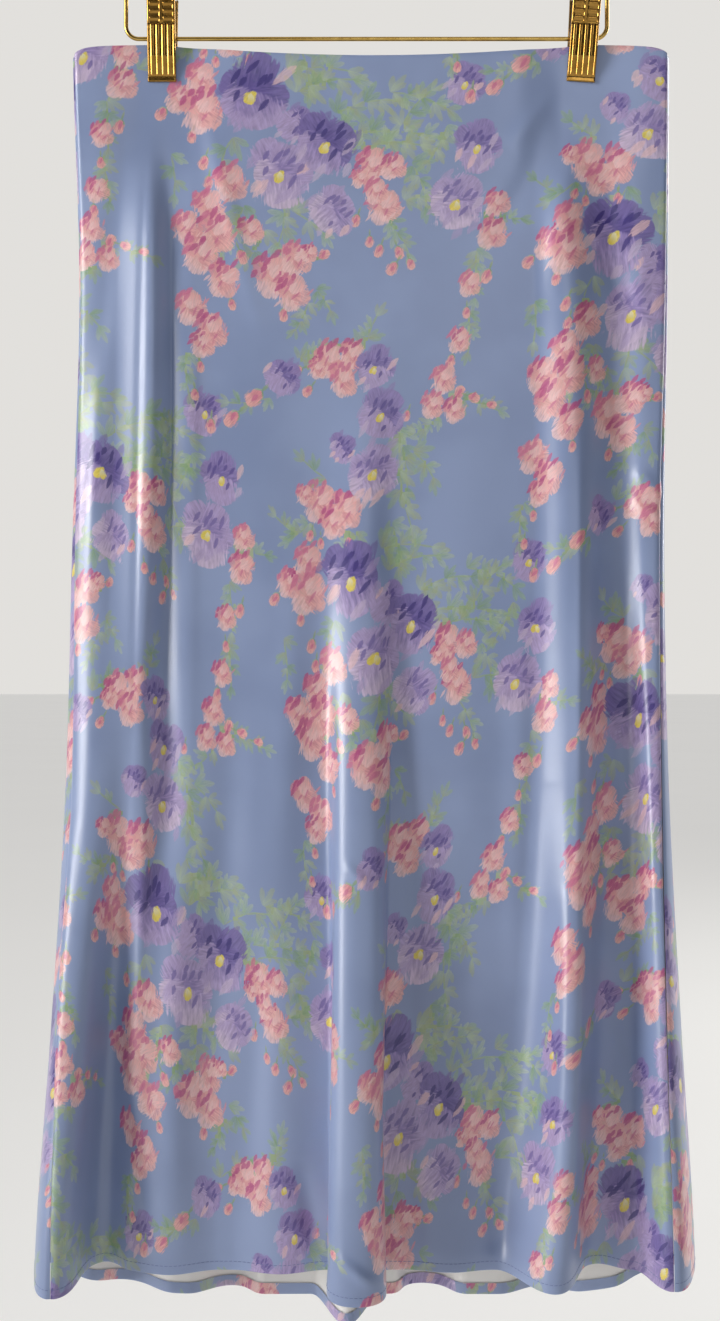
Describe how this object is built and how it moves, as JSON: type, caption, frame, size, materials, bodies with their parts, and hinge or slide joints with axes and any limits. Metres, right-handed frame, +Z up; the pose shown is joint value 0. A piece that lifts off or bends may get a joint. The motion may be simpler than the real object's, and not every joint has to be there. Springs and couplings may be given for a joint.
{
  "type": "maxi skirt on a clip hanger",
  "caption": "Long A-line skirt of printed satin, held flat at the waist by two clips on a wire hanger, with soft folds that open towards the hem.",
  "frame": {"origin": "under the crown of the hanger's hook, where a rail carries it", "axes": "+X to the viewer's right across the front, +Y from the front panel to the back panel, +Z up"},
  "size_m": [0.4604, 0.1166, 1.0944],
  "materials": {
    "satin": "satin",
    "gold_wire": "polished",
    "gold_clip": "polished"
  },
  "bodies": {
    "root": {"front_panel_left": "satin", "front_panel_middle": "satin", "front_panel_right": "satin", "back_panel_left_edge": "satin", "back_panel_left_side": "satin", "back_panel_left_upper": "satin", "back_panel_left_lower": "satin", "back_panel_middle": "satin", "back_panel_right_upper": "satin", "back_panel_right_lower": "satin", "back_panel_right_side": "satin", "back_panel_right_edge": "satin", "hanger_frame": "gold_wire", "hanger_collar": "gold_wire", "hanger_hook": "gold_wire", "clip_left_front_jaw": "gold_clip", "clip_left_back_jaw": "gold_clip", "clip_left_spring": "gold_clip", "clip_right_front_jaw": "gold_clip", "clip_right_back_jaw": "gold_clip", "clip_right_spring": "gold_clip"}
  },
  "joints": []
}
